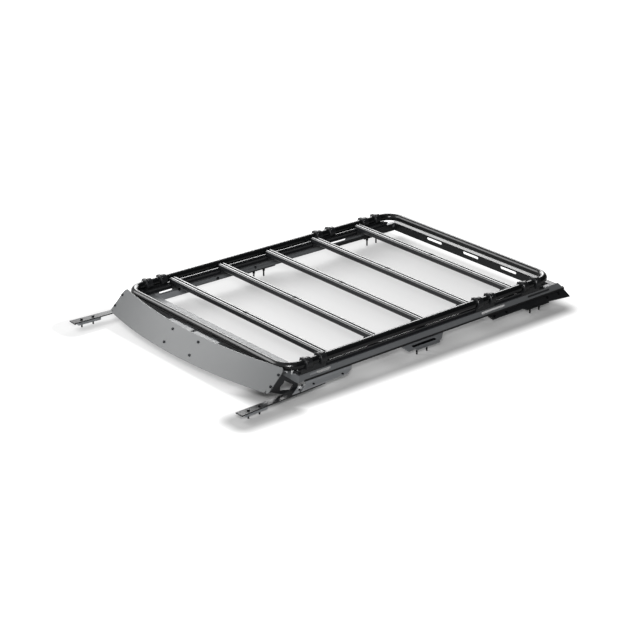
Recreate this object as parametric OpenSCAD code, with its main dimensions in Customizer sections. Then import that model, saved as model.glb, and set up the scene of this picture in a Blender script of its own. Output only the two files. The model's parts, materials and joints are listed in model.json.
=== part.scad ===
/* [Overall frame] */
// Height of the crossbar tops over the lowest stud tip
bar_top = 152; // [146:1:190]
// Angle by which each side runs inwards towards the rear, in degrees
taper = 0.75; // [0:0.25:1.5]

/* [Tube ring] */
// Outside diameter of the ring tube
tube_d = 38; // [34:1:40]
// Wall thickness of the ring tube
tube_wall = 3; // [2:0.5:4]
// Half width of the ring to the tube axis, level with the middle crossbar
ring_half_w = 597; // [560:1:640]
// Distance from the middle crossbar to the front and rear tube axes
ring_half_l = 839; // [800:1:900]
// Bend radius of the ring corners, to the tube axis
bend_r = 85; // [70:1:120]

/* [Crossbars] */
// Distance from the front tube axis to the first crossbar, and from the last one to the rear tube
bar_inset = 249; // [235:1:275]
// Width of a crossbar
bar_w = 40; // [36:1:50]
// Height of a crossbar
bar_h = 30; // [28:1:36]
// Radius of the crossbar's long edges
bar_r = 9; // [6:0.5:11]
// Width of the slot opening in the crossbars and side rails
slot_w = 11; // [8:0.5:12]
// Length of the wide bolt entry in the middle of each crossbar slot
entry_l = 26; // [20:1:40]

/* [Side rails and side plates] */
// Width of a side rail
rail_w = 46; // [42:1:52]
// Height of a side rail
rail_h = 22; // [20:1:26]
// Distance from the front tube axis back to the front end of the side rails
rail_inset = 64; // [55:1:75]
// Height of a side plate below its rail
plate_h = 41; // [36:1:46]
// Sheet thickness of the side plates, feet and brackets
sheet = 4; // [3:0.5:5]
// Length of the side plates' tail behind the rear tube axis
plate_tail = 103; // [90:1:115]

/* [Fairing] */
// Plan radius of the bowed fairing, at its top edge
fairing_r = 2540; // [2200:10:3000]
// Half width of the fairing
fairing_half_w = 610; // [580:1:620]
// Height of the fairing, which leans back at 45 degrees
fairing_h = 93; // [80:1:100]
// Thickness of the fairing
fairing_t = 3; // [2:0.5:4]
// Distance from the front tube axis forward to the top edge of the fairing, in the middle
fairing_reach = 83; // [76:1:96]

/* [Feet] */
// Length of the front foot strips
strip_l = 490; // [440:5:520]
// Width of the front foot strips at their front end
strip_w = 44; // [38:1:48]
// Diameter of the mounting studs
stud_d = 8; // [6:1:10]
// Spacing of each pair of mounting studs
stud_pitch = 63; // [58:1:68]
// Free length of the front studs under their spacer block
stud_free = 17; // [8:1:18]

/* [Hidden] */
$fn = 64;
eps = 0.01;
fit_gap = 0.3;
bar_count = 5;
bar_half_n = (bar_count - 1) / 2;
bar_pitch = (ring_half_l - bar_inset) / bar_half_n;

// Levels
tube_r = tube_d / 2;
rail_top = bar_top - bar_h;
rail_bottom = rail_top - rail_h;
saddle_t = 3;
ring_z = rail_top + saddle_t + tube_r;
plate_bottom = rail_bottom - plate_h;
strip_top = 38;
strip_t = 5;
foot_flange_top = 39;

// Stations along the rack, from the middle crossbar; they follow the ring
rail_front = ring_half_l - rail_inset;
rail_rear_inset = 49;
rail_rear = ring_half_l - rail_rear_inset;
plate_rear = ring_half_l + plate_tail;
plate_inset = 72;
plate_front = -ring_half_l + plate_inset;
panel_gap = 27;
rear_y = ring_half_l + panel_gap;
fairing_front = ring_half_l + fairing_reach;
strip_reach = 296;
strip_front = -ring_half_l - strip_reach;

// Sideways places
rail_offset = 13;
rail_x = ring_half_w - rail_offset;
strip_offset = 55;
strip_x = ring_half_w + strip_offset;
strip_turn = 2.7;
plate_x = 11;

// Slots of the crossbars and side rails, and the crossbar's walls
slot_lip = 2.5;
chan_w = 19;
chan_h = 7;
entry_w = 16;
bar_wall = 4;
bar_floor = 3;
bar_end_gap = 3;
side_slot_depth = 8;
side_slot_flare = 2.5;

// Brackets under the crossbar ends
bar_bracket_w = 34;
bar_bracket_t = 5;
bar_bracket_l = 48;

// Side plates: level flange, slanted front corner, long holes, slanted rear end and trim
flange_w = 18;
flange_inset = 20;
corner_w = 22;
corner_l = 28;
hole_h = 12;
hole_up = 22;
front_hole_start = 63;
front_hole_l = 123;
middle_hole_back = 1;
middle_hole_l = 160;
rear_hole_end = 104;
rear_hole_l = 155;
cut_run = 47;
trim_h = 8;
trim_t = 2;
trim_start = 30;

// Front panel, its posts up to the tube and the two mid brackets behind the fairing
front_panel_y = plate_front - corner_l;
front_flange_w = 78;
post_w = 21;
post_lap = 37;
mid_x = 10;
mid_w = 175;
mid_low = 67;
mid_top = 142;
mid_back = 42;
strap_w = 40;
strap_front = 70;

// Rear panel
panel_h = 50;
panel_flange = 12;
panel_lip = 15;
panel_hole_pitch = 272;
panel_hole_l = 113;
panel_hole_h = 13;
panel_hole_down = 22;

// Ring clamps
clamp_front_inset = 145;
clamp_rear_inset = 161;
clamp_middle_gap = 72;
clamp_middle_y = bar_pitch + clamp_middle_gap;
clamp_span = 85;
saddle_lap = 22;
saddle_inset = 2;
collar_w = 14;
collar_t = 11;
collar_rim = 3;
sleeve_l = 23;
sleeve_t = 7;
cheek_h = 17;
block_h = 11;
block_inset = 4;

// Fairing and its brackets
fairing_top_r = 20;
fairing_low_r = 8;
fairing_sweep = 16;
band_depth = 400;
bracket_flange = 28;
bracket_top = 27;
bracket_crown = 90;
bracket_reach = 157;
bracket_run_on = 30;
bracket_gap = 6;
bracket_heel = 10;
bracket_toe = 108;
bracket_depth = 160;
bracket_foot_l = 37;
bracket_foot_start = 3;
bracket_base_x = 15;
bracket_base_y = 100;
bracket_base_out = 42;

// Feet and their studs, sideways from the side plate's inner face
foot_lap = 10;
foot_back_lap = 33;
foot_slope_out = 31;
foot_flange_out = 45;
foot_flare_out = 45;
foot_stud_x = 17;
stud_plate_in = 2;
stud_plate_out = 24;
stud_plate_t = 5;
stud_plate_lap = 16;
weld_stud_free = 30;
foot_slot_w = 15;
foot_slot_x = 16;
foot_end_slant = 1.53;
foot_gap = 5;
front_foot_start = 40;
front_foot_out = 46;
front_foot_rear_out = 35;
front_foot_end = 312;
front_back_l = 66;
middle_foot_y = -148;
middle_foot_l = 260;
middle_flange_y = -90;
middle_flange_l = 145;
middle_low_start = 16;
middle_round_x = 21;
middle_round_y = 23;
middle_slot_y = -98;
middle_slot_l = 154;
middle_stud_y = -67;
rear_foot_l = 529;
rear_low_start = 12;
rear_low_out = 24;
rear_flange_end = 150;
rear_flange_l = 152;
rear_back_end = 93;
rear_back_l = 175;
rear_stud_end = 254;
rear_stud_y = plate_rear - rear_stud_end;
front_stud_y = 53;
strip_rear_w = 30;
spacer_w = 26;
spacer_front_lap = 24;
spacer_rear_lap = 37;
nub_y = 8;
nub_h = 7;
head_d = 13;
head_h = 6;
rear_reach = plate_rear * cos(taper) + (plate_x + foot_flare_out) * sin(taper);
frame_y = (-strip_front + strip_w / 2 * sin(strip_turn) - rear_reach) / 2;

// Local frame of the right side: X outwards from the rail's middle, Y along it
module on_side() {
  translate([rail_x, 0, 0]) rotate([0, 0, taper]) children();
}

// The same frame, with X from the side plate's inner face
module on_plate() {
  on_side() translate([plate_x, 0, 0]) children();
}

module left() {
  mirror([1, 0, 0]) children();
}

// Puts the origin under the middle of the whole rack
module placed() {
  translate([0, frame_y, 0]) children();
}

// Ring corners: a quarter bend between an end tube and a side tube
function front_t() = (-ring_half_l + bend_r + bend_r * sin(taper)) / cos(taper);
function rear_t() = (ring_half_l - bend_r + bend_r * sin(taper)) / cos(taper);
function centre_x(t) = ring_half_w - t * sin(taper) - bend_r * cos(taper);

module tube_face() {
  difference() {
    circle(r = tube_r);
    circle(r = tube_r - tube_wall);
  }
}

module ring_end(y_axis, cx) {
  color("#1a1b1d") translate([-cx, y_axis, ring_z]) rotate([90, 0, 90])
    linear_extrude(height = 2 * cx) tube_face();
}

module ring_front() {
  ring_end(-ring_half_l, centre_x(front_t()));
}

module ring_rear() {
  ring_end(ring_half_l, centre_x(rear_t()));
}

module ring_right() {
  color("#1a1b1d") translate([ring_half_w, 0, ring_z]) rotate([0, 0, taper])
    translate([0, front_t(), 0]) rotate([-90, 0, 0])
      linear_extrude(height = rear_t() - front_t()) tube_face();
}

module bend(start, sweep) {
  rotate([0, 0, start]) rotate_extrude(angle = sweep) translate([bend_r, 0]) tube_face();
}

module ring_corner_front_right() {
  color("#1a1b1d") translate([centre_x(front_t()), -ring_half_l + bend_r, ring_z]) bend(-90, 90 + taper);
}

module ring_corner_rear_right() {
  color("#1a1b1d") translate([centre_x(rear_t()), ring_half_l - bend_r, ring_z]) bend(taper, 90 - taper);
}

// Slot opening under a level top face: mouth, then a wider channel
module slot_cut() {
  translate([-slot_w / 2, -slot_lip - eps]) square([slot_w, slot_lip + 1]);
  translate([-chan_w / 2, -slot_lip - chan_h]) square([chan_w, chan_h]);
}

module bar_face() {
  difference() {
    union() {
      translate([-bar_w / 2 + bar_r, -bar_h]) square([bar_w - 2 * bar_r, bar_h]);
      translate([-bar_w / 2, -bar_h + bar_r]) square([bar_w, bar_h - 2 * bar_r]);
      for (sx = [-1, 1], zc = [-bar_r, -bar_h + bar_r])
        translate([sx * (bar_w / 2 - bar_r), zc]) circle(r = bar_r);
    }
    slot_cut();
    translate([-bar_w / 2 + bar_wall, -bar_h + bar_wall])
      square([bar_w - 2 * bar_wall, bar_h - bar_wall - bar_floor - chan_h - slot_lip]);
  }
}

function side_half(y) = ring_half_w - y * tan(taper);

module crossbar(i) {
  y = (i - 1 - bar_half_n) * bar_pitch;
  half = side_half(y) - tube_r / cos(taper) - bar_end_gap;
  color("#17181a") translate([0, y, bar_top]) difference() {
    translate([-half, 0, 0]) rotate([90, 0, 90]) linear_extrude(height = 2 * half) bar_face();
    translate([-entry_l / 2, -entry_w / 2, -slot_lip - eps]) cube([entry_l, entry_w, slot_lip + 1]);
  }
}

// Slot along one flank of a rail, flared at its lower lip
module flank_slot() {
  translate([rail_w / 2, -rail_h / 2]) polygon([[-side_slot_depth, slot_w / 2], [eps, slot_w / 2],
    [eps, -slot_w / 2 - side_slot_flare], [-side_slot_flare, -slot_w / 2], [-side_slot_depth, -slot_w / 2]]);
}

module rail_face() {
  difference() {
    translate([-rail_w / 2, -rail_h]) square([rail_w, rail_h]);
    slot_cut();
    flank_slot();
    mirror([1, 0]) flank_slot();
  }
}

module side_rail_right() {
  color("#17181a") on_side() translate([0, rail_rear, rail_top]) rotate([90, 0, 0])
    linear_extrude(height = rail_rear + rail_front) rail_face();
}

// Side plate: a pierced web below the rail, a level flange on top and a slanted front corner
module long_hole(y0, l) {
  z = plate_bottom + hole_up;
  for (y = [y0 + hole_h / 2, y0 + l - hole_h / 2])
    translate([-sheet, y, z]) rotate([0, 90, 0]) cylinder(d = hole_h, h = 3 * sheet);
  translate([-sheet, y0 + hole_h / 2, z - hole_h / 2]) cube([3 * sheet, l - hole_h, hole_h]);
}

// Thickness of the slanted corner, measured along the rack, in sheets
function corner_skin() = norm([corner_w + sheet, corner_l]) / (corner_w + sheet);

module side_plate_right() {
  flange_start = plate_front + flange_inset;
  color("#1d1e20") on_plate() difference() {
    union() {
      rotate([90, 0, 90]) linear_extrude(height = sheet) polygon([[plate_front, plate_bottom],
        [plate_rear, plate_bottom], [plate_rear - cut_run, rail_bottom], [plate_front, rail_bottom]]);
      translate([-flange_w, flange_start, rail_bottom - sheet])
        cube([flange_w + eps, rear_y - panel_flange - fit_gap - flange_start, sheet]);
      translate([0, plate_front, plate_bottom]) linear_extrude(height = plate_h) polygon([[0, sheet],
        [sheet, sheet], [sheet, 0], [-corner_w, -corner_l], [-corner_w, sheet * corner_skin() - corner_l]]);
    }
    long_hole(plate_front + front_hole_start, front_hole_l);
    long_hole(clamp_middle_y - middle_hole_back, middle_hole_l);
    long_hole(plate_rear - rear_hole_end - rear_hole_l, rear_hole_l);
  }
}

// Rubber trim hooked under the lower edge of a side plate and up its outer face
module edge_trim_right() {
  front = plate_front + trim_start;
  color("#0c0c0d") on_plate()
    translate([0, plate_rear, 0]) rotate([90, 0, 0]) linear_extrude(height = plate_rear - front)
      difference() {
        translate([0, plate_bottom - trim_t]) square([sheet + trim_t, trim_h]);
        translate([-1, plate_bottom]) square([sheet + 1, trim_h]);
      }
}

module bar_brackets_right() {
  for (i = [1:bar_count]) {
    y = (i - 1 - bar_half_n) * bar_pitch;
    color("#131416") on_side() translate([-rail_w / 2, y, 0]) {
      translate([-bar_bracket_t, -bar_bracket_w / 2, rail_bottom + 1])
        cube([bar_bracket_t, bar_bracket_w, rail_h - 1]);
      translate([-bar_bracket_l, -bar_bracket_w / 2, rail_top - bar_bracket_t])
        cube([bar_bracket_l, bar_bracket_w, bar_bracket_t]);
    }
  }
}

// Panel across the front: a level flange, a post up to the tube at each end,
// and a strap under the tube to a bracket on the fairing's back on each side
function end_strap(front, top) = [[front, top - sheet], [front, top], [sheet, top], [sheet, rail_bottom - eps],
  [0, rail_bottom - eps], [0, top - sheet]];

module front_panel() {
  half = rail_x + (plate_x - corner_w) / cos(taper) - front_panel_y * tan(taper) - fit_gap;
  top = ring_z - tube_r - fit_gap;
  mid_y = -fairing_front + mid_back;
  color("#1b1c1e") {
    translate([-half, front_panel_y, plate_bottom]) cube([2 * half, sheet, plate_h]);
    translate([-half, front_panel_y, rail_bottom - sheet]) cube([2 * half, front_flange_w, sheet]);
    for (side = [0, 1]) mirror([side, 0, 0]) {
      translate([half - post_w, front_panel_y, 0]) rotate([90, 0, 90]) linear_extrude(height = post_w)
        polygon(end_strap(-post_lap, top));
      translate([mid_x + (mid_w - strap_w) / 2, 0, 0]) rotate([90, 0, 90]) linear_extrude(height = strap_w)
        polygon([[mid_y - sheet, mid_top - sheet], [mid_y, mid_top], [front_panel_y - strap_front + 2, top],
          [front_panel_y + sheet, top], [front_panel_y + sheet, rail_bottom - eps],
          [front_panel_y, rail_bottom - eps], [front_panel_y, top - sheet],
          [front_panel_y - strap_front, top - sheet]]);
      intersection() {
        cone_band(fairing_r - sheet * sqrt(2), fairing_r, fairing_h);
        translate([mid_x, -fairing_front - fairing_h, mid_low]) cube([mid_w, band_depth, mid_top - mid_low]);
      }
      intersection() {
        cone_band(fairing_r - band_depth, fairing_r, fairing_h);
        translate([mid_x, -fairing_front - fairing_h, mid_top - sheet])
          cube([mid_w, fairing_h + mid_back, sheet]);
      }
    }
  }
}

module rear_panel() {
  half = rail_x + plate_x / cos(taper) - rear_y * tan(taper) - fit_gap;
  run = panel_hole_l - panel_hole_h;
  color("#1b1c1e") difference() {
    union() {
      translate([-half, rear_y, rail_bottom - panel_h]) cube([2 * half, sheet, panel_h]);
      translate([-half, rear_y - panel_flange, rail_bottom - sheet])
        cube([2 * half, panel_flange + sheet + panel_lip, sheet]);
    }
    for (k = [-1, 0, 1]) translate([k * panel_hole_pitch, rear_y - sheet, rail_bottom - panel_hole_down]) {
      for (s = [-1, 1]) translate([s * run / 2, 0, 0]) rotate([-90, 0, 0])
        cylinder(d = panel_hole_h, h = 3 * sheet);
      translate([-run / 2, 0, -panel_hole_h / 2]) cube([run, 3 * sheet, panel_hole_h]);
    }
  }
}

// Ring clamp: two collars with chamfered rims and a sleeve behind each, on a saddle plate
// that sits on the rail and turns down over its outer face
module collar_profile() {
  r_out = tube_r + collar_t;
  polygon([[0, 0], [r_out - collar_rim, 0], [r_out, collar_rim], [r_out, collar_w - collar_rim],
    [r_out - collar_rim, collar_w], [0, collar_w]]);
  translate([0, -sleeve_l]) square([tube_r + sleeve_t, sleeve_l + 1]);
}

module clamp_right(y, lap) {
  ax = ring_half_w - rail_x;
  half = clamp_span / 2 + collar_w / 2;
  back = half + sleeve_l;
  color("#141517") on_side() translate([0, y, 0]) difference() {
    union() {
      for (s = [-1, 1]) translate([ax, s * clamp_span / 2 + collar_w / 2, ring_z]) rotate([90, 0, 0])
        rotate_extrude() collar_profile();
      translate([-rail_w / 2 + saddle_inset, -half - lap, rail_top])
        cube([rail_w - saddle_inset + saddle_t, half + lap + back, saddle_t]);
      translate([ax - tube_r + block_inset, -half, rail_top])
        cube([2 * (tube_r - block_inset), half + back, block_h]);
    }
    translate([ax, back + 1, ring_z]) rotate([90, 0, 0]) cylinder(r = tube_r + fit_gap / 2, h = half + back + 2);
    translate([ax - tube_d, -half - 1, rail_top - tube_d]) cube([2 * tube_d, half + back + 2, tube_d]);
  }
  color("#141517") on_side() translate([rail_w / 2, y - half - lap, rail_top - cheek_h])
    cube([saddle_t, half + lap + back, cheek_h + 1]);
}

module clamp_front_right() {
  clamp_right(-ring_half_l + clamp_front_inset, saddle_lap);
}

module clamp_middle_right() {
  clamp_right(clamp_middle_y, 0);
}

module clamp_rear_right() {
  clamp_right(ring_half_l - clamp_rear_inset, 0);
}

// Fairing: a bowed sheet that leans back, cut from a cone
function fairing_skin() = fairing_t * sqrt(2);
function fairing_y() = fairing_r + fairing_skin() - fairing_front;

module cone_band(r_in, r_out, drop) {
  translate([0, fairing_y(), bar_top]) rotate([0, 0, -90 - fairing_sweep])
    rotate_extrude(angle = 2 * fairing_sweep, $fn = 360)
      polygon([[r_in, 0], [r_out, 0], [r_out + drop, -drop], [r_in + drop, -drop]]);
}

module fairing() {
  color("#26282b") intersection() {
    cone_band(fairing_r, fairing_r + fairing_skin(), fairing_h);
    translate([0, 0, bar_top]) rotate([90, 0, 0]) linear_extrude(height = fairing_front + band_depth) union() {
      translate([-fairing_half_w + fairing_top_r, -fairing_h])
        square([2 * (fairing_half_w - fairing_top_r), fairing_h]);
      translate([-fairing_half_w, -fairing_h + fairing_low_r])
        square([2 * fairing_half_w, fairing_h - fairing_low_r - fairing_top_r]);
      for (s = [-1, 1]) {
        translate([s * (fairing_half_w - fairing_top_r), -fairing_top_r]) circle(r = fairing_top_r);
        translate([s * (fairing_half_w - fairing_low_r), -fairing_h + fairing_low_r]) circle(r = fairing_low_r);
      }
    }
  }
}

// Fairing bracket: a pierced web in front of the side plate, a flange along the fairing's back
// and a base on the front strip
module fairing_bracket_right() {
  flange = sheet * sqrt(2);
  low = bar_top - fairing_h + 2;
  top = bar_top - bracket_top;
  color("#1b1c1e") {
    intersection() {
      cone_band(fairing_r - flange, fairing_r, fairing_h);
      on_plate() translate([sheet - bracket_flange, -fairing_front - fairing_h, low])
        cube([bracket_flange, band_depth, top - low]);
    }
    intersection() {
      cone_band(fairing_r - band_depth, fairing_r - flange / 2, bracket_depth);
      on_plate() rotate([90, 0, 90]) linear_extrude(height = sheet)
        translate([plate_front, 0]) bracket_face(top, low);
    }
    on_plate() translate([0, plate_front, strip_top]) linear_extrude(height = sheet) bracket_base_face();
  }
}

// Outline of the web, run on past the fairing's back so that the cone trims its front edge
module bracket_face(top, low) {
  difference() {
    polygon([[-bracket_crown - bracket_run_on, top], [-bracket_crown, top],
      [-bracket_gap, plate_bottom - trim_t], [-bracket_heel, strip_top], [-bracket_toe, strip_top],
      [-bracket_reach, low], [-bracket_reach - bracket_run_on, low]]);
    polygon([[-bracket_crown + 6, top - 29], [-bracket_heel - 23, plate_bottom + 2],
      [-bracket_heel - 42, strip_top + 5], [-bracket_toe - 1, low - 6], [-bracket_toe - 1, low + 11],
      [-bracket_crown + 2, top - 40]]);
  }
}

// Base of the fairing bracket: slanted along its rear edge, pointed outwards
module bracket_base_face() {
  start = bracket_foot_start + 1;
  polygon([[0, -start], [0, -bracket_toe], [sheet, -bracket_toe], [bracket_base_x, -bracket_base_y],
    [bracket_base_out, -start - bracket_base_out * foot_end_slant - sheet],
    [bracket_base_out, -start - bracket_base_out * foot_end_slant]]);
}

// Front foot strip: a level bar that runs forward under the fairing
module strip_at() {
  translate([strip_x, strip_front, 0]) rotate([0, 0, strip_turn]) children();
}

module stud_holes(y0, z_low, z_high) {
  for (y = [y0, y0 + stud_pitch]) translate([0, y, z_low - 1])
    cylinder(d = stud_d + fit_gap, h = z_high - z_low + 2);
}

// A front stud: full diameter on the free end, a neck through the holes, and a head
module bolt() {
  cylinder(d = stud_d, h = stud_free);
  translate([0, 0, 1]) cylinder(d = stud_d - 2 * fit_gap, h = strip_top);
  translate([0, 0, strip_top]) cylinder(d = head_d, h = head_h);
}

module front_strip_right() {
  color("#26282b") strip_at() difference() {
    union() {
      translate([0, 0, strip_top - strip_t]) linear_extrude(height = strip_t) polygon([[-strip_w / 2, 0],
        [strip_w / 2, 0], [strip_rear_w / 2, strip_l], [-strip_rear_w / 2, strip_l]]);
      translate([-spacer_w / 2, nub_y, strip_top - strip_t - nub_h]) cube([spacer_w, nub_h + 1, nub_h + 1]);
    }
    stud_holes(front_stud_y, strip_top - strip_t, strip_top);
  }
}

module front_spacer_right() {
  z0 = stud_free;
  color("#8f9396") strip_at() difference() {
    translate([-spacer_w / 2, front_stud_y - spacer_front_lap, z0])
      cube([spacer_w, stud_pitch + spacer_front_lap + spacer_rear_lap, strip_top - strip_t - z0]);
    stud_holes(front_stud_y, z0, strip_top - strip_t);
  }
}

module front_studs() {
  color("#0f1011") for (side = [0, 1], y = [front_stud_y, front_stud_y + stud_pitch])
    mirror([side, 0, 0]) strip_at() translate([0, y, 0]) bolt();
}

// Upright part of a foot, behind the side plate, from the plate's lower edge up by lap
module foot_back(y0, l, lap, low) {
  translate([-sheet, y0, low]) cube([sheet, l, plate_bottom + lap - low]);
}

// Front foot: the long part behind a slanted slit, and the short piece in front of it
module front_foot_right() {
  start = plate_front + front_foot_start;
  end_y = front_foot_out * foot_end_slant;
  tail = start + front_foot_end - front_foot_start;
  color("#26282b") on_plate() {
    foot_back(start, tail - start, foot_lap, strip_top);
    foot_back(start, front_back_l, foot_back_lap, strip_top);
    translate([0, 0, strip_top]) linear_extrude(height = sheet) polygon([[-eps, start + foot_gap],
      [front_foot_out, start + foot_gap - front_foot_out * foot_end_slant],
      [front_foot_rear_out, tail - front_foot_rear_out * foot_end_slant], [-eps, tail]]);
    translate([0, plate_front, strip_top]) linear_extrude(height = sheet) polygon([[0, -bracket_foot_start],
      [front_foot_out, -bracket_foot_start - end_y], [front_foot_out, bracket_foot_l - end_y],
      [0, bracket_foot_l]]);
  }
}

// Slope that drops outwards from under the side plate, then runs level when flat is true
module foot_sheet(y0, l, flat) {
  z0 = plate_bottom - trim_t;
  drop = (z0 - foot_flange_top) / foot_slope_out;
  x_end = flat ? foot_slope_out : foot_flare_out;
  z_end = z0 - drop * x_end;
  tail = flat ? [[foot_flange_out, z_end], [foot_flange_out, z_end - sheet], [x_end - 1, z_end - sheet]]
    : [[x_end, z_end - sheet]];
  translate([0, y0 + l, 0]) rotate([90, 0, 0]) linear_extrude(height = l)
    polygon(concat([[-sheet, z0], [0, z0], [x_end, z_end]], tail, [[-sheet, z0 - sheet]]));
}

// Underside of a foot's slope
function slope_low(x) = plate_bottom - trim_t - sheet
  - (x + sheet) * (plate_bottom - trim_t - foot_flange_top) / (foot_slope_out - 1 + sheet);

// Pair of studs on a plate against the underside of a foot's slope
module weld_studs(y0, plate_y, plate_l) {
  for (y = [y0, y0 + stud_pitch]) translate([foot_stud_x, y, 0]) {
    cylinder(d = stud_d, h = weld_stud_free + 1);
    translate([0, 0, weld_stud_free])
      cylinder(d = head_d, h = slope_low(foot_stud_x) - stud_plate_t / 2 - weld_stud_free);
  }
  translate([0, plate_y + plate_l, 0]) rotate([90, 0, 0]) linear_extrude(height = plate_l)
    polygon([[stud_plate_in, slope_low(stud_plate_in)], [stud_plate_out, slope_low(stud_plate_out)],
      [stud_plate_out, slope_low(stud_plate_out) - stud_plate_t],
      [stud_plate_in, slope_low(stud_plate_in) - stud_plate_t]]);
}

module middle_foot_right() {
  tail = middle_foot_y + middle_foot_l;
  flange_tail = middle_flange_y + middle_flange_l;
  color("#1d1e20") on_plate() {
    foot_back(middle_foot_y, middle_foot_l, foot_lap, plate_bottom - trim_t);
    difference() {
      intersection() {
        foot_sheet(middle_foot_y, middle_foot_l, true);
        linear_extrude(height = bar_top) polygon([[-sheet, middle_foot_y], [sheet, middle_foot_y],
          [foot_slope_out, middle_foot_y + middle_low_start], [foot_slope_out, middle_flange_y],
          [foot_flange_out, middle_flange_y], [foot_flange_out, flange_tail], [foot_slope_out, flange_tail + 7],
          [middle_round_x, tail - middle_round_y], [sheet, tail], [-sheet, tail]]);
      }
      for (y = [middle_slot_y + foot_slot_w / 2, middle_slot_y + middle_slot_l - foot_slot_w / 2])
        translate([foot_slot_x, y, 0]) cylinder(d = foot_slot_w, h = bar_top);
      translate([foot_slot_x - foot_slot_w / 2, middle_slot_y + foot_slot_w / 2, 0])
        cube([foot_slot_w, middle_slot_l - foot_slot_w, bar_top]);
    }
  }
}

module middle_studs() {
  color("#0f1011") for (side = [0, 1]) mirror([side, 0, 0]) on_plate()
    weld_studs(middle_stud_y, middle_slot_y - sheet, middle_slot_l + 2 * sheet);
}

module rear_foot_right() {
  start = plate_rear - rear_foot_l;
  flange_tail = plate_rear - rear_flange_end;
  flange_start = flange_tail - rear_flange_l;
  color("#1d1e20") on_plate() {
    foot_back(start, rear_foot_l, foot_lap, plate_bottom - trim_t);
    foot_back(plate_rear - rear_back_end - rear_back_l, rear_back_l, foot_back_lap, plate_bottom - trim_t);
    intersection() {
      foot_sheet(start, flange_tail - start, true);
      linear_extrude(height = bar_top) polygon([[-sheet, start], [sheet, start],
        [rear_low_out, start + rear_low_start], [rear_low_out, flange_start - foot_slope_out + rear_low_out],
        [foot_slope_out, flange_start], [foot_flange_out, flange_start], [foot_flange_out, flange_tail],
        [-sheet, flange_tail]]);
    }
    intersection() {
      foot_sheet(flange_tail - eps, plate_rear - flange_tail + eps, false);
      linear_extrude(height = bar_top) polygon([[-sheet, flange_tail - eps], [foot_slope_out, flange_tail - eps],
        [foot_flare_out, plate_rear], [-sheet, plate_rear]]);
    }
  }
}

module rear_studs() {
  color("#0f1011") for (side = [0, 1]) mirror([side, 0, 0]) on_plate()
    weld_studs(rear_stud_y, rear_stud_y - stud_plate_lap, stud_pitch + 2 * stud_plate_lap);
}

placed() ring_front();
placed() ring_rear();
placed() left() ring_right();  // ring_left
placed() ring_right();
placed() left() ring_corner_front_right();  // ring_corner_front_left
placed() ring_corner_front_right();
placed() left() ring_corner_rear_right();  // ring_corner_rear_left
placed() ring_corner_rear_right();
placed() left() side_rail_right();  // side_rail_left
placed() side_rail_right();
placed() left() side_plate_right();  // side_plate_left
placed() side_plate_right();
placed() left() edge_trim_right();  // edge_trim_left
placed() edge_trim_right();
placed() crossbar(1);  // crossbar_1
placed() crossbar(2);  // crossbar_2
placed() crossbar(3);  // crossbar_3
placed() crossbar(4);  // crossbar_4
placed() crossbar(5);  // crossbar_5
placed() left() bar_brackets_right();  // bar_brackets_left
placed() bar_brackets_right();
placed() rear_panel();
placed() left() clamp_front_right();  // clamp_front_left
placed() clamp_front_right();
placed() left() clamp_middle_right();  // clamp_middle_left
placed() clamp_middle_right();
placed() left() clamp_rear_right();  // clamp_rear_left
placed() clamp_rear_right();
placed() fairing();
placed() left() fairing_bracket_right();  // fairing_bracket_left
placed() fairing_bracket_right();
placed() front_panel();
placed() left() front_strip_right();  // front_strip_left
placed() front_strip_right();
placed() left() front_foot_right();  // front_foot_left
placed() front_foot_right();
placed() left() front_spacer_right();  // front_spacer_left
placed() front_spacer_right();
placed() front_studs();
placed() left() middle_foot_right();  // middle_foot_left
placed() middle_foot_right();
placed() middle_studs();
placed() left() rear_foot_right();  // rear_foot_left
placed() rear_foot_right();
placed() rear_studs();
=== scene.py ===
# %% [markdown]
# # Roof rack
# A vehicle roof rack: a tube ring clamped on two slotted rails, five slotted crossbars, pierced side plates, a bowed
# fairing and studded feet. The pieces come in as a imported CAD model, in metres. This script gives each its finish,
# adds the small fittings that a CAD model leaves out, and sets up a pale studio with a camera.

import json
import math
import bmesh
import bpy
from mathutils import Matrix, Vector


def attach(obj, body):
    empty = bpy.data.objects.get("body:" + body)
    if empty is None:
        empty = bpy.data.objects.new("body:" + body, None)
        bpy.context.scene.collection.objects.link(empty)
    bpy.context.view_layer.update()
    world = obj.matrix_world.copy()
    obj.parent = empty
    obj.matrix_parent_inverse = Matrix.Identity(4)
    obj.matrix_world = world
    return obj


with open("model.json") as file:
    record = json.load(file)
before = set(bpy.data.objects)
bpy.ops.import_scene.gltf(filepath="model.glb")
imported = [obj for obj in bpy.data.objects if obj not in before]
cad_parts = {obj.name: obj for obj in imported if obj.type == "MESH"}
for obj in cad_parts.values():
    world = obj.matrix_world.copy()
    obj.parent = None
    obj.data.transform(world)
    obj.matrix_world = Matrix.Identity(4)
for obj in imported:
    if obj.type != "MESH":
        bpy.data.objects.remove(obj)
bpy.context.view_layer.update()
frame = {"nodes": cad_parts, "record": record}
nodes = frame["nodes"]
mm = 0.001

# %% [markdown]
# ## Colours and shader nodes
# Colours are written as the hex values that a picture editor shows. A shader works in linear light, so one function
# turns each hex value to linear. A second function adds a shader node with its settings and links in one call,
# which keeps each finish below short enough to read as a recipe.

# %% Colour and node helpers
def linear(hex_colour):
    channels = [int(hex_colour[i:i + 2], 16) / 255 for i in (1, 3, 5)]
    return tuple(c / 12.92 if c <= 0.04045 else ((c + 0.055) / 1.055) ** 2.4 for c in channels) + (1.0,)


def add(tree, kind, inputs=None, **settings):
    node = tree.nodes.new(kind)
    for name, value in settings.items():
        setattr(node, name, value)
    for name, value in (inputs or {}).items():
        if isinstance(value, bpy.types.NodeSocket):
            tree.links.new(value, node.inputs[name])
        else:
            node.inputs[name].default_value = value
    return node


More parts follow.
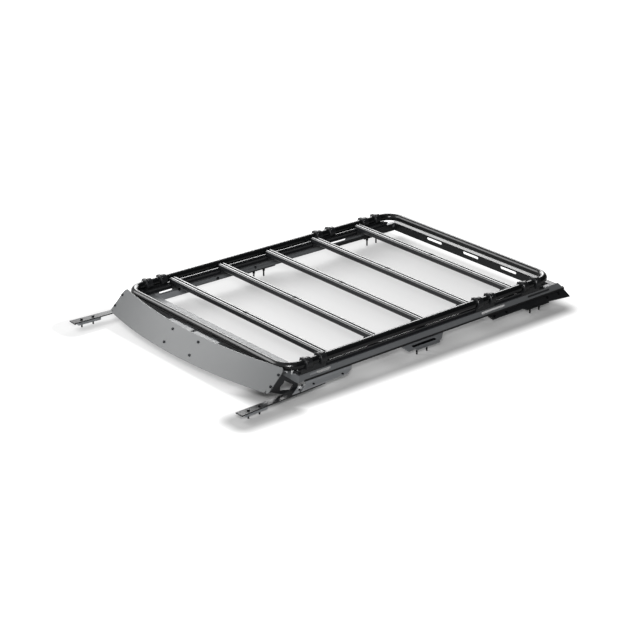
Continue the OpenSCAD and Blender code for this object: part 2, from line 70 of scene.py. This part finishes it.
def new_material(name):
    material = bpy.data.materials.new(name)
    material.use_nodes = True
    tree = material.node_tree
    return material, tree, tree.nodes["Principled BSDF"]


print("mid grey in linear light:", [round(c, 3) for c in linear("#808080")[:3]])

# %% [markdown]
# ## Powder coat
# Powder coat is a plastic paint, sprayed on dry and melted in an oven. It flows into a skin with a faint orange
# peel, so a highlight has a soft, slightly broken edge. The real peel is about 1 mm from crest to crest, too
# fine for a picture of the whole rack, so it is drawn a little coarser. A Bevel node rounds the shading of the
# sharp CAD edges by a millimetre, which gives them the thin bright line that a coated sheet edge shows. Where a
# slot width is given, an ambient occlusion mask takes the shine away inside such a narrow slot: painted shade
# that keeps the slot floors dark.

# %% Powder coat recipe
def powder_coat(name, colour, thin_colour, roughness, shine=0.5, peel_mm=3.0, peel_depth_mm=0.02, edge_mm=1.2,
                slot_shade_mm=0.0):
    material, tree, shader = new_material(name)
    place = add(tree, "ShaderNodeTexCoord").outputs["Object"]
    cloud = add(tree, "ShaderNodeTexNoise", {"Vector": place, "Scale": 1 / (90 * mm), "Detail": 3.0})
    peel = add(tree, "ShaderNodeTexNoise", {"Vector": place, "Scale": 1 / (peel_mm * mm), "Detail": 1.0})
    shade = add(tree, "ShaderNodeMix", {"Factor": cloud.outputs["Fac"]}, data_type="RGBA")
    shade.inputs["A"].default_value = linear(colour)
    shade.inputs["B"].default_value = linear(thin_colour)
    gloss = add(tree, "ShaderNodeMapRange", {"Value": cloud.outputs["Fac"], "To Min": roughness - 0.05,
                                             "To Max": roughness + 0.05})
    edge = add(tree, "ShaderNodeBevel", {"Radius": edge_mm * mm}, samples=4)
    skin = add(tree, "ShaderNodeBump", {"Height": peel.outputs["Fac"], "Normal": edge.outputs["Normal"],
                                        "Distance": peel_depth_mm * mm, "Strength": 1.0})
    tree.links.new(shade.outputs["Result"], shader.inputs["Base Color"])
    tree.links.new(gloss.outputs["Result"], shader.inputs["Roughness"])
    tree.links.new(skin.outputs["Normal"], shader.inputs["Normal"])
    shader.inputs["Specular IOR Level"].default_value = shine
    # Painted shade: an ambient occlusion mask takes the shine away inside a narrow slot.
    if slot_shade_mm:
        open_sky = add(tree, "ShaderNodeAmbientOcclusion", {"Distance": slot_shade_mm * mm}, samples=8, only_local=True)
        lit = add(tree, "ShaderNodeMapRange", {"Value": open_sky.outputs["AO"], "From Min": 0.5, "From Max": 0.85,
                                               "To Min": 0.0, "To Max": shine})
        tree.links.new(lit.outputs["Result"], shader.inputs["Specular IOR Level"])
    return material


finishes = {
    "tube_coat": powder_coat("satin_powder_coated_tube", "#08090a", "#0d0e0f", 0.22, shine=0.4, peel_depth_mm=0.01),
    "extrusion_coat": powder_coat("powder_coated_extrusion", "#191a1c", "#202123", 0.24, shine=0.55,
                                   peel_depth_mm=0.006, edge_mm=0.5, slot_shade_mm=14),
    "bracket_coat": powder_coat("powder_coated_sheet", "#151617", "#1b1c1e", 0.36, shine=0.4),
    # Partly painted light: the sheets' own dark grey, made lighter to stand in for the light they catch.
    "panel_coat": powder_coat("grey_panel_coat_partly_painted_light", "#595b5d", "#616365", 0.42),
    # Painted sheen: the fairing is black coat, and its grey base colour stands in for the light it reflects.
    "fairing_coat": powder_coat("fairing_coat_painted_sheen", "#464849", "#4d4f50", 0.4),
    # Painted reflection: the feet are black coat, and the light grey stands in for the light they reflect.
    "foot_coat": powder_coat("foot_coat_painted_reflection", "#7d7f82", "#858789", 0.4),
}
print("powder coats:", sorted(finishes))

# %% [markdown]
# ## Rubber, alloy and zinc
# The trim hooked on the side plates is extruded rubber, matt and very dark. The spacer blocks are bare aluminium
# with fine saw lines. The studs are steel in black zinc, a little shinier than the coats round them.

# %% Trim rubber
def trim_rubber():
    material, tree, shader = new_material("extruded_rubber")
    place = add(tree, "ShaderNodeTexCoord").outputs["Object"]
    grain = add(tree, "ShaderNodeTexNoise", {"Vector": place, "Scale": 1 / (4 * mm), "Detail": 2.0})
    shade = add(tree, "ShaderNodeMix", {"Factor": grain.outputs["Fac"]}, data_type="RGBA")
    shade.inputs["A"].default_value = linear("#060606")
    shade.inputs["B"].default_value = linear("#0d0d0e")
    skin = add(tree, "ShaderNodeBump", {"Height": grain.outputs["Fac"], "Distance": 0.05 * mm})
    tree.links.new(shade.outputs["Result"], shader.inputs["Base Color"])
    tree.links.new(skin.outputs["Normal"], shader.inputs["Normal"])
    shader.inputs["Roughness"].default_value = 0.62
    return material


# %% Metals
def bare_metal(name, colour, dull_colour, roughness, line_mm):
    material, tree, shader = new_material(name)
    place = add(tree, "ShaderNodeTexCoord").outputs["Object"]
    stretched = add(tree, "ShaderNodeMapping", {"Vector": place, "Scale": (1.0, 0.08, 1.0)})
    lines = add(tree, "ShaderNodeTexNoise", {"Vector": stretched.outputs["Vector"], "Scale": 1 / (line_mm * mm),
                                             "Detail": 2.0})
    shade = add(tree, "ShaderNodeMix", {"Factor": lines.outputs["Fac"]}, data_type="RGBA")
    shade.inputs["A"].default_value = linear(colour)
    shade.inputs["B"].default_value = linear(dull_colour)
    skin = add(tree, "ShaderNodeBump", {"Height": lines.outputs["Fac"], "Distance": 0.02 * mm})
    tree.links.new(shade.outputs["Result"], shader.inputs["Base Color"])
    tree.links.new(skin.outputs["Normal"], shader.inputs["Normal"])
    shader.inputs["Metallic"].default_value = 1.0
    shader.inputs["Roughness"].default_value = roughness
    return material


finishes["trim_rubber"] = trim_rubber()
finishes["spacer_alloy"] = bare_metal("sawn_aluminium", "#b9bcbf", "#9fa2a5", 0.42, 2.0)
finishes["stud_steel"] = bare_metal("black_zinc_plated_steel", "#2b2c2e", "#1d1e20", 0.35, 1.0)
print("all finishes:", sorted(finishes))

# %% [markdown]
# ## Dress the CAD pieces
# The record says which finish each piece takes. A CAD piece keeps its mesh and only its material slot is filled.

# %% Fill the material slots
for part in frame["record"]["subparts"]:
    mesh = nodes[part["node"]].data
    mesh.materials.clear()
    mesh.materials.append(finishes[part["material_slot"]])
print("pieces dressed:", len(nodes))

# %% [markdown]
# ## Places on the two sides
# The rack narrows a little towards the rear, so each side has a frame of its own: x runs outwards from the middle of
# the side rail, y backwards along it, and z up from the tops of the crossbars. One function turns such a place into
# a point of the scene, so that a fitting is written once and appears on both sides.

# %% Side frame
rail_x = 584
bar_top = 152
frame_y = 96.69
taper = math.radians(0.75)


def side_point(side, x, y, z):
    along = x * math.sin(taper) + y * math.cos(taper)
    across = rail_x + x * math.cos(taper) - y * math.sin(taper)
    return Vector((side * across, along + frame_y, z + bar_top)) * mm


def side_way(side, x, y, z):
    way = Matrix.Rotation(taper, 3, "Z") @ Vector((x, y, z))
    return Vector((side * way.x, way.y, way.z)).normalized()


print("rear end of the right rail:", [round(v, 3) for v in side_point(1, 0, 790, -30)])

# %% [markdown]
# ## Screws
# A rack is held by button-head and cap screws in black zinc. The head is a short cylinder: its top edge is bevelled
# to a dome, its top face is inset and pressed down for the key, and a washer lies under it. The head is made once
# and then copied to every place in a group, because a group of like screws is one piece.

# %% Screw head
def screw_head(width, height, washer=0.0):
    head = bmesh.new()
    if washer:
        bmesh.ops.create_cone(head, cap_ends=True, segments=32, radius1=washer / 2 * mm, radius2=washer / 2 * mm,
                              depth=1.2 * mm, matrix=Matrix.Translation((0, 0, 0.6 * mm)))
    base = 1.2 if washer else 0
    made = bmesh.ops.create_cone(head, cap_ends=True, segments=32, radius1=width / 2 * mm, radius2=width / 2 * mm,
                                 depth=height * mm, matrix=Matrix.Translation((0, 0, (base + height / 2) * mm)))
    top_z = (base + height) * mm
    rim = {e for v in made["verts"] for e in v.link_edges if all(abs(w.co.z - top_z) < 1e-6 for w in e.verts)}
    bmesh.ops.bevel(head, geom=list(rim), offset=0.45 * height * mm, segments=3, profile=0.5, affect="EDGES",
                    material=-1)
    crown = [f for f in head.faces if f.normal.z > 0.99 and abs(f.calc_center_median().z - top_z) < 1e-6]
    bmesh.ops.inset_region(head, faces=crown, thickness=0.18 * width * mm, depth=0)
    bmesh.ops.inset_region(head, faces=crown, thickness=0.02 * width * mm, depth=-0.5 * height * mm)
    return head


def place_copies(name, pattern, places, finish, node=None):
    whole = bmesh.new()
    for point, way in places:
        turn = way.to_track_quat("Z", "Y").to_matrix().to_4x4()
        copy = pattern.copy()
        bmesh.ops.transform(copy, matrix=Matrix.Translation(point) @ turn, verts=copy.verts)
        spare = bpy.data.meshes.new("spare")
        copy.to_mesh(spare)
        whole.from_mesh(spare)
        copy.free()
        bpy.data.meshes.remove(spare)
    bmesh.ops.recalc_face_normals(whole, faces=whole.faces)
    mesh = bpy.data.meshes.new(name)
    whole.to_mesh(mesh)
    whole.free()
    pattern.free()
    mesh.materials.append(finish)
    piece = bpy.data.objects.new(name, mesh)
    bpy.context.scene.collection.objects.link(piece)
    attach(piece, "root")
    print(name, "copies:", len(places), "faces:", len(mesh.polygons))
    return piece


# %% [markdown]
# The fairing is part of a cone. A point on its front face is found from its place across the rack and its depth
# below the top edge, and the screw stands square to the face there.

# %% Fairing screws
fairing_r = 2540
fairing_front = 839 + 83
fairing_skin = 3 * math.sqrt(2)


def fairing_place(x, depth):
    radius = fairing_r + fairing_skin + depth
    back = math.sqrt(radius ** 2 - x ** 2)
    point = Vector((x, fairing_r + fairing_skin - fairing_front - back + frame_y, bar_top - depth)) * mm
    way = Vector((x / radius, -back / radius, 1)).normalized()
    return point, way


steel = finishes["stud_steel"]
spots = [fairing_place(s * x, depth) for s in (-1, 1) for x, depth in ((600, 25), (600, 68), (98, 19), (98, 70))]
place_copies("fairing_screws", screw_head(13, 4.5), spots, steel)

# %% [markdown]
# The feet are fixed with the same screws: on the level front foot plates, and on the slope of the rear feet.
# Three more on each side stand on the inner face of the side plate.

# %% Foot and plate screws
up = Vector((0, 0, 1))
spots = [(side_point(s, x, y, -110), up) for s in (-1, 1)
         for x, y in ((13, -749), (43, -789), (36, -701), (40, -534))]
place_copies("front_foot_screws", screw_head(10, 4, 12), spots, steel)

slope = (59 - 2 - 39) / 31
spots = [(side_point(s, 26, y, 57 - slope * 15 - bar_top), side_way(s, slope, 0, 1)) for s in (-1, 1)
         for y in (889, 809, 526, 445)]
place_copies("rear_foot_screws", screw_head(10, 3.5, 15), spots, steel)

spots = [(side_point(s, 11, y, -85), side_way(s, -1, 0, 0)) for s in (-1, 1) for y in (-541, -305, -71)]
place_copies("side_plate_screws", screw_head(12, 4.5, 16), spots, steel)

# %% [markdown]
# Each ring collar is pulled shut by a cap screw on either side of the tube. Its head stands on the shoulder of the
# collar, where the round outside has fallen a little.

# %% Clamp screws
collar_places = [-694 - 42.5, -694 + 42.5, 367 - 42.5, 367 + 42.5, 678 - 42.5, 678 + 42.5]
spots = [(side_point(s, 13 + dx, y, -8 + 14.5), up) for s in (-1, 1) for y in collar_places for dx in (-24.5, 24.5)]
place_copies("clamp_screws", screw_head(8, 7), spots, steel)

# %% [markdown]
# ## Camera
# The picture was taken with a long lens from the front right corner, about 9 m away and 3.4 m over the rack. A long
# lens keeps parallel bars nearly parallel, which is why the far side hardly shrinks.

# %% Place the camera
lens_data = bpy.data.cameras.new("studio_camera")
camera = bpy.data.objects.new("studio_camera", lens_data)
bpy.context.scene.collection.objects.link(camera)
camera.location = (6.4866, -5.451, 3.583)
camera.rotation_euler = (math.radians(66.96), 0, math.radians(50.18))
lens_data.sensor_width = 36
lens_data.lens = 106.65
lens_data.clip_end = 60
bpy.context.scene.camera = camera
print("camera at", [round(v, 2) for v in camera.location])

# %% [markdown]
# ## Studio
# The floor is a plain grey sheet, and a glow set by place paints its shadows. To the camera it adds a light of
# its own: full white from about 15 cm outside the rack and its front strips, less inside the ring, and next to
# none along the near side, so the shade there is painted deeper than the lamps make it. Beyond the far side the
# tubes mirror this glow too, a painted reflection; otherwise it sends no light to the rack, so the black tubes
# stay black. The world is a dim white dome that the camera sees as white.

# %% White floor
floor_size = 60
floor_mesh = bpy.data.meshes.new("studio_floor")
sheet = bmesh.new()
bmesh.ops.create_grid(sheet, x_segments=1, y_segments=1, size=floor_size / 2)
sheet.to_mesh(floor_mesh)
sheet.free()
floor = bpy.data.objects.new("studio_floor", floor_mesh)
bpy.context.scene.collection.objects.link(floor)
paper, tree, shader = new_material("floor_with_painted_shadow")
shader.inputs["Base Color"].default_value = linear("#a4a4a4")
shader.inputs["Roughness"].default_value = 0.9
shader.inputs["Specular IOR Level"].default_value = 0.0
path = add(tree, "ShaderNodeLightPath")
seen = add(tree, "ShaderNodeMath", {0: path.outputs["Is Camera Ray"], 1: path.outputs["Is Transmission Ray"]},
           operation="MAXIMUM")
place = add(tree, "ShaderNodeTexCoord").outputs["Object"]
across = add(tree, "ShaderNodeSeparateXYZ", {"Vector": place}).outputs["X"]


def outside_box(low, high):
    over = add(tree, "ShaderNodeVectorMath", {0: place, 1: high}, operation="SUBTRACT")
    under = add(tree, "ShaderNodeVectorMath", {0: low, 1: place}, operation="SUBTRACT")
    most = add(tree, "ShaderNodeVectorMath", {0: over.outputs["Vector"], 1: under.outputs["Vector"]},
               operation="MAXIMUM")
    kept = add(tree, "ShaderNodeVectorMath", {0: most.outputs["Vector"], 1: (0, 0, 0)}, operation="MAXIMUM")
    return add(tree, "ShaderNodeVectorMath", {0: kept.outputs["Vector"]}, operation="LENGTH").outputs["Value"]


# Painted shadow: the glow falls away near the rack and its strips, lower inside the ring, least along the near side.
deck = outside_box((-0.65, -0.83, 0), (0.65, 0.93, 0))
left_strip = outside_box((-0.69, -1.04, 0), (-0.64, -0.8, 0))
right_strip = outside_box((0.64, -1.04, 0), (0.69, -0.8, 0))
strips = add(tree, "ShaderNodeMath", {0: left_strip, 1: right_strip}, operation="MINIMUM")
reach = add(tree, "ShaderNodeMath", {0: deck, 1: strips.outputs[0]}, operation="MINIMUM")
away = add(tree, "ShaderNodeMapRange", {"Value": reach.outputs[0], "From Min": 0.01, "From Max": 0.15},
           interpolation_type="SMOOTHSTEP")
inside = add(tree, "ShaderNodeMapRange", {"Value": across, "From Min": 0.36, "From Max": 0.5,
                                          "To Min": 0.41, "To Max": 0.0}, interpolation_type="SMOOTHSTEP")
# Painted reflection: beyond the far side, glossy rays see the floor's glow.
far_side = add(tree, "ShaderNodeMath", {0: across, 1: -0.75}, operation="LESS_THAN")
mirrored = add(tree, "ShaderNodeMath", {0: path.outputs["Is Glossy Ray"], 1: far_side.outputs[0]},
               operation="MULTIPLY")
shown = add(tree, "ShaderNodeMath", {0: seen.outputs[0], 1: mirrored.outputs[0]}, operation="MAXIMUM")
near_side = add(tree, "ShaderNodeMapRange", {"Value": across, "From Min": 0.56, "From Max": 0.66,
                                             "To Min": 0.0, "To Max": 0.06}, interpolation_type="SMOOTHSTEP")
under_rack = add(tree, "ShaderNodeMath", {0: inside.outputs["Result"], 1: near_side.outputs["Result"]},
                 operation="MAXIMUM")
glow_level = add(tree, "ShaderNodeMath", {0: away.outputs["Result"], 1: under_rack.outputs[0]}, operation="MAXIMUM")
lift = add(tree, "ShaderNodeMath", {0: shown.outputs[0], 1: glow_level.outputs[0]}, operation="MULTIPLY")
glow = add(tree, "ShaderNodeEmission", {"Strength": lift.outputs[0]})
both = add(tree, "ShaderNodeAddShader", {0: shader.outputs[0], 1: glow.outputs[0]})
tree.links.new(both.outputs[0], tree.nodes["Material Output"].inputs["Surface"])
floor_mesh.materials.append(paper)

# %% World
world = bpy.data.worlds.new("studio_dome")
bpy.context.scene.world = world
world.use_nodes = True
tree = world.node_tree
path = add(tree, "ShaderNodeLightPath")
seen = add(tree, "ShaderNodeMath", {0: path.outputs["Is Camera Ray"], 1: path.outputs["Is Transmission Ray"]},
           operation="MAXIMUM")
way = add(tree, "ShaderNodeTexCoord").outputs["Generated"]
toward = add(tree, "ShaderNodeVectorMath", {0: way}, operation="DOT_PRODUCT")
toward.inputs[1].default_value = (-0.55, -0.78, 0.3)
level = add(tree, "ShaderNodeMapRange", {"Value": toward.outputs["Value"], "From Min": -0.35, "From Max": 1.0,
                                         "To Min": 0.03, "To Max": 0.8})
behind = add(tree, "ShaderNodeVectorMath", {0: way}, operation="DOT_PRODUCT")
behind.inputs[1].default_value = (-0.77, 0.64, 0)
horizon = add(tree, "ShaderNodeMapRange", {"Value": behind.outputs["Value"], "From Min": 0.86, "From Max": 0.97,
                                           "To Min": 0.0, "To Max": 1.0})
dim = add(tree, "ShaderNodeMath", {0: level.outputs["Result"], 1: horizon.outputs["Result"]}, operation="MAXIMUM")
shown = add(tree, "ShaderNodeMath", {0: dim.outputs[0], 1: seen.outputs[0]}, operation="MAXIMUM")
dome = tree.nodes["Background"]
dome.inputs["Color"].default_value = (1, 1, 1, 1)
tree.links.new(shown.outputs[0], dome.inputs["Strength"])

# %% [markdown]
# The key light is a wide, low softbox behind the left rear corner. It mirrors in everything that lies level, so it
# draws the lines along the tubes and the white lips beside the bar slots. A second one at the front left mirrors
# in the rounded fronts of the bars. The third stands beside the camera: it lights the grey sheets and throws the
# soft shadow in front of each bar, and no tube mirrors it.

# %% Softboxes
def softbox(name, place, aim, width, height, watts):
    data = bpy.data.lights.new(name, "AREA")
    data.shape = "RECTANGLE"
    data.size = width
    data.size_y = height
    data.energy = watts
    lamp = bpy.data.objects.new(name, data)
    bpy.context.scene.collection.objects.link(lamp)
    lamp.location = place
    lamp.rotation_euler = (Vector(aim) - Vector(place)).to_track_quat("-Z", "Y").to_euler()
    radiance = watts / (math.pi * width * height)
    print(name, "radiance", round(radiance, 2))


softbox("key_softbox", (-3.53, 3.0, 2.15), (0, 0, 0.15), 3.6, 1.4, 140)
softbox("left_softbox", (-3.0, -2.4, 2.8), (0, 0, 0.1), 3.4, 2.2, 150)
softbox("camera_softbox", (3.75, -3.15, 2.75), (0, 0, 0.1), 1.0, 0.8, 215)

# %% [markdown]
# ## View and finish
# The Standard view shows colours as written.

# %% Finish
bpy.context.scene.view_settings.view_transform = "Standard"
